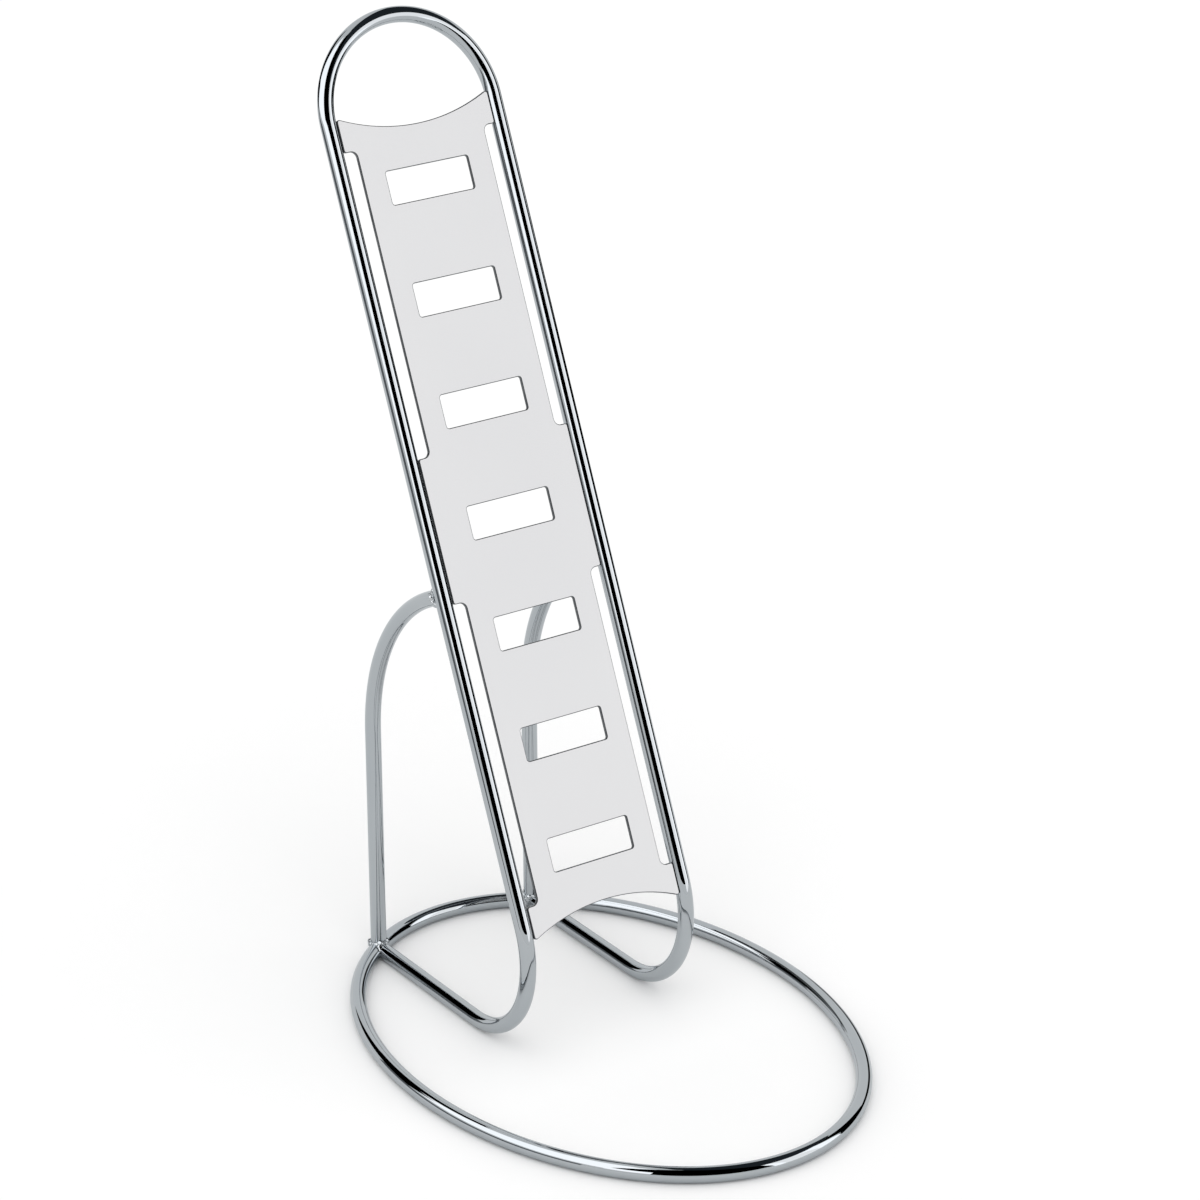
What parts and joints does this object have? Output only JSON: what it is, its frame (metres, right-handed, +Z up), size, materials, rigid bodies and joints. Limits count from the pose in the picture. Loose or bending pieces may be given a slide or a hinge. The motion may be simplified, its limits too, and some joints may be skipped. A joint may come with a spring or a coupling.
{
  "type": "slotted rack",
  "caption": "Leaning rack: a slotted sheet plate between bent wire rails that end in an arched handle, held up by rear wire supports on an oval wire base ring.",
  "frame": {"origin": "on the table, under the middle of the whole rack's bounding box", "axes": "+Z up; the plate faces -Y and leans back towards +Y; +X is to the right as the plate is faced"},
  "size_m": [0.169, 0.2566, 0.3595],
  "materials": {
    "chrome_wire": "bright mirror plating on bent wire",
    "polished_sheet": "flat mirror-polished sheet",
    "chrome_weld": "mirror-plated weld metal, smooth but lumpy"
  },
  "bodies": {
    "root": {"base_ring": "chrome_wire", "frame_loop": "chrome_wire", "support_left": "chrome_wire", "support_right": "chrome_wire", "slotted_plate": "polished_sheet", "junction_weld_left": "chrome_weld", "junction_weld_right": "chrome_weld", "rail_weld_left": "chrome_weld", "rail_weld_right": "chrome_weld", "plate_weld_left": "chrome_weld", "plate_weld_right": "chrome_weld"}
  },
  "joints": []
}
